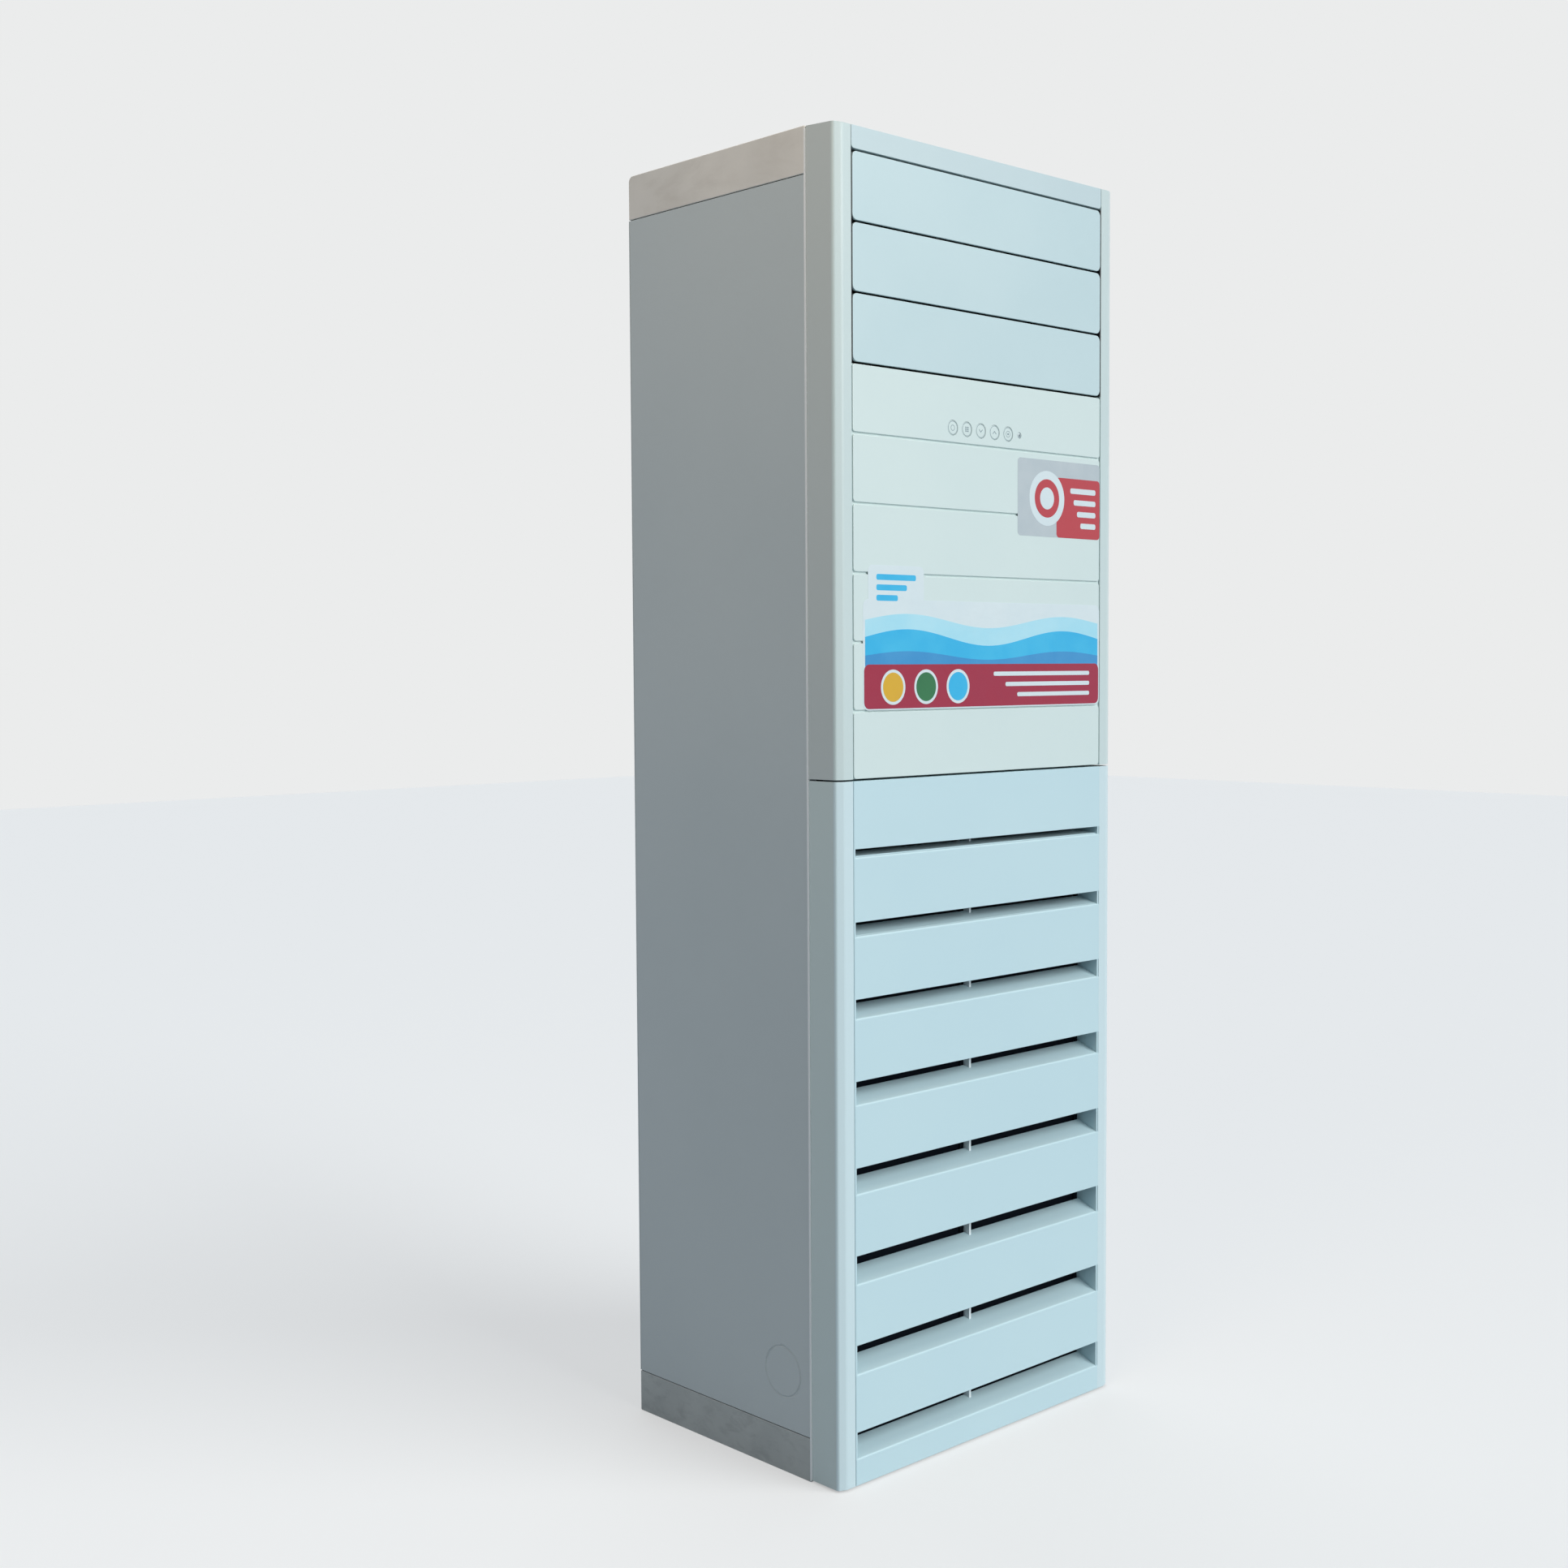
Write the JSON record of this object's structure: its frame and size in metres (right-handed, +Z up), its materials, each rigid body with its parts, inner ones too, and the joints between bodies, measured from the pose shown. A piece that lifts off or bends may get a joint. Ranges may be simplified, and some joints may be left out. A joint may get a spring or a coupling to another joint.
{
  "type": "floor standing air conditioner",
  "caption": "Tall floor standing air conditioner cabinet with tilting outlet vanes, push buttons on its tiled upper front and a slatted intake grille that swings open.",
  "frame": {"origin": "middle of the footprint on the floor", "axes": "+Z up, -Y out of the front, +X to the right seen from the front"},
  "size_m": [0.59, 0.43, 1.84],
  "materials": {
    "painted_steel": "smooth glossy grey-white paint on folded steel",
    "base_paint": "slightly mottled grey paint on the pressed base",
    "white_plastic": "satin white ABS, faintly blue, on the upper front",
    "grille_plastic": "satin pale blue-white ABS of the lower front",
    "zinc_sheet": "zinc-coated sheet of the inner brackets and boxes",
    "aluminium_fin": "dull aluminium fins",
    "copper_pipe": "drawn copper pipe with brass flare nut",
    "dark_plastic": "dark moulded plastic of the duct and fan wheel",
    "grey_plastic": "light grey moulded plastic of blades, links and pan",
    "circuit_board": "green laminate",
    "lens_plastic": "smoked clear lens over the lamp",
    "filter_screen": "dark woven-look moulded screen",
    "hose_rubber": "grey flexible hose"
  },
  "bodies": {
    "root": {"side_panel_left": "painted_steel", "side_panel_right": "painted_steel", "back_panel": "painted_steel", "top_cover": "painted_steel", "base_pan": "base_paint", "upper_post_left": "white_plastic", "upper_post_right": "white_plastic", "header": "white_plastic", "upper_panel": "white_plastic", "display_board": "circuit_board", "led_lens": "lens_plastic", "drain_pan": "grey_plastic", "vane_motor": "zinc_sheet", "blade_motor": "zinc_sheet", "coil_end_left": "zinc_sheet", "coil_end_right": "zinc_sheet", "partition_shelf": "zinc_sheet", "control_box": "zinc_sheet", "control_box_cover": "zinc_sheet", "fan_scroll": "zinc_sheet", "bell_mouth": "zinc_sheet", "fan_motor": "zinc_sheet", "motor_bracket": "zinc_sheet", "outlet_duct": "dark_plastic", "blade_rail_bottom": "dark_plastic", "blade_rail_top": "dark_plastic", "evaporator_coil": "aluminium_fin", "gas_pipe": "copper_pipe", "liquid_pipe": "copper_pipe", "drain_hose": "hose_rubber"},
    "vane_1": {"vane_1": "white_plastic", "vane_crank_1": "grey_plastic"},
    "vane_2": {"vane_2": "white_plastic", "vane_crank_2": "grey_plastic"},
    "vane_3": {"vane_3": "white_plastic", "vane_crank_3": "grey_plastic"},
    "vane_link": {"vane_link": "grey_plastic"},
    "blade_1": {"blade_1": "grey_plastic"},
    "blade_2": {"blade_2": "grey_plastic"},
    "blade_3": {"blade_3": "grey_plastic"},
    "blade_4": {"blade_4": "grey_plastic"},
    "blade_5": {"blade_5": "grey_plastic"},
    "blade_6": {"blade_6": "grey_plastic"},
    "blade_7": {"blade_7": "grey_plastic"},
    "blade_8": {"blade_8": "grey_plastic"},
    "blade_tie_bar": {"blade_tie_bar": "grey_plastic"},
    "button_1": {"button_1": "white_plastic"},
    "button_2": {"button_2": "white_plastic"},
    "button_3": {"button_3": "white_plastic"},
    "button_4": {"button_4": "white_plastic"},
    "button_5": {"button_5": "white_plastic"},
    "impeller": {"impeller": "dark_plastic"},
    "lower_front": {"grille": "grille_plastic", "lower_post_left": "grille_plastic", "lower_post_right": "grille_plastic"},
    "filter_left": {"filter_left": "filter_screen"},
    "filter_right": {"filter_right": "filter_screen"}
  },
  "joints": [
    {"name": "vane_1_tilt", "type": "hinge", "parent": "root", "child": "vane_1", "pos_m": [0, -0.205, 1.75725], "axis": [1, 0, 0], "range_deg": [0, 80]},
    {"name": "vane_2_tilt", "type": "hinge", "parent": "root", "child": "vane_2", "pos_m": [0, -0.205, 1.66475], "axis": [1, 0, 0], "range_deg": [0, 80]},
    {"name": "vane_3_tilt", "type": "hinge", "parent": "root", "child": "vane_3", "pos_m": [0, -0.205, 1.57225], "axis": [1, 0, 0], "range_deg": [0, 80]},
    {"name": "vane_link_pivot", "type": "hinge", "parent": "vane_1", "child": "vane_link", "pos_m": [-0.2745, -0.187, 1.75725], "axis": [1, 0, 0], "range_deg": [-80, 0]},
    {"name": "blade_1_swing", "type": "hinge", "parent": "root", "child": "blade_1", "pos_m": [-0.23187, -0.135, 1.66475], "axis": [0, 0, 1], "range_deg": [-35, 35]},
    {"name": "blade_2_swing", "type": "hinge", "parent": "root", "child": "blade_2", "pos_m": [-0.16562, -0.135, 1.66475], "axis": [0, 0, 1], "range_deg": [-35, 35]},
    {"name": "blade_3_swing", "type": "hinge", "parent": "root", "child": "blade_3", "pos_m": [-0.09938, -0.135, 1.66475], "axis": [0, 0, 1], "range_deg": [-35, 35]},
    {"name": "blade_4_swing", "type": "hinge", "parent": "root", "child": "blade_4", "pos_m": [-0.03313, -0.135, 1.66475], "axis": [0, 0, 1], "range_deg": [-35, 35]},
    {"name": "blade_5_swing", "type": "hinge", "parent": "root", "child": "blade_5", "pos_m": [0.03313, -0.135, 1.66475], "axis": [0, 0, 1], "range_deg": [-35, 35]},
    {"name": "blade_6_swing", "type": "hinge", "parent": "root", "child": "blade_6", "pos_m": [0.09938, -0.135, 1.66475], "axis": [0, 0, 1], "range_deg": [-35, 35]},
    {"name": "blade_7_swing", "type": "hinge", "parent": "root", "child": "blade_7", "pos_m": [0.16562, -0.135, 1.66475], "axis": [0, 0, 1], "range_deg": [-35, 35]},
    {"name": "blade_8_swing", "type": "hinge", "parent": "root", "child": "blade_8", "pos_m": [0.23187, -0.135, 1.66475], "axis": [0, 0, 1], "range_deg": [-35, 35]},
    {"name": "blade_tie_pivot", "type": "hinge", "parent": "blade_1", "child": "blade_tie_bar", "pos_m": [-0.23187, -0.117, 1.53], "axis": [0, 0, 1], "range_deg": [-35, 35]},
    {"name": "button_1_press", "type": "slide", "parent": "root", "child": "button_1", "axis": [0, 1, 0], "range_m": [0, 0.001], "stiffness_N_per_m": 600},
    {"name": "button_2_press", "type": "slide", "parent": "root", "child": "button_2", "axis": [0, 1, 0], "range_m": [0, 0.001], "stiffness_N_per_m": 600},
    {"name": "button_3_press", "type": "slide", "parent": "root", "child": "button_3", "axis": [0, 1, 0], "range_m": [0, 0.001], "stiffness_N_per_m": 600},
    {"name": "button_4_press", "type": "slide", "parent": "root", "child": "button_4", "axis": [0, 1, 0], "range_m": [0, 0.001], "stiffness_N_per_m": 600},
    {"name": "button_5_press", "type": "slide", "parent": "root", "child": "button_5", "axis": [0, 1, 0], "range_m": [0, 0.001], "stiffness_N_per_m": 600},
    {"name": "impeller_spin", "type": "hinge", "parent": "root", "child": "impeller", "pos_m": [0, 0.051, 0.41], "axis": [0, 1, 0], "continuous": true},
    {"name": "lower_front_open", "type": "hinge", "parent": "root", "child": "lower_front", "pos_m": [0, -0.207, 0.015], "axis": [1, 0, 0], "range_deg": [0, 30]},
    {"name": "filter_left_lift", "type": "slide", "parent": "lower_front", "child": "filter_left", "axis": [0, 0, 1], "range_m": [0, 0.03]},
    {"name": "filter_right_lift", "type": "slide", "parent": "lower_front", "child": "filter_right", "axis": [0, 0, 1], "range_m": [0, 0.03]}
  ],
  "couplings": [
    {"joint": "vane_2_tilt", "follows": "vane_1_tilt", "ratio": 1},
    {"joint": "vane_3_tilt", "follows": "vane_1_tilt", "ratio": 1},
    {"joint": "vane_link_pivot", "follows": "vane_1_tilt", "ratio": -1},
    {"joint": "blade_2_swing", "follows": "blade_1_swing", "ratio": 1},
    {"joint": "blade_3_swing", "follows": "blade_1_swing", "ratio": 1},
    {"joint": "blade_4_swing", "follows": "blade_1_swing", "ratio": 1},
    {"joint": "blade_5_swing", "follows": "blade_1_swing", "ratio": 1},
    {"joint": "blade_6_swing", "follows": "blade_1_swing", "ratio": 1},
    {"joint": "blade_7_swing", "follows": "blade_1_swing", "ratio": 1},
    {"joint": "blade_8_swing", "follows": "blade_1_swing", "ratio": 1},
    {"joint": "blade_tie_pivot", "follows": "blade_1_swing", "ratio": -1}
  ]
}
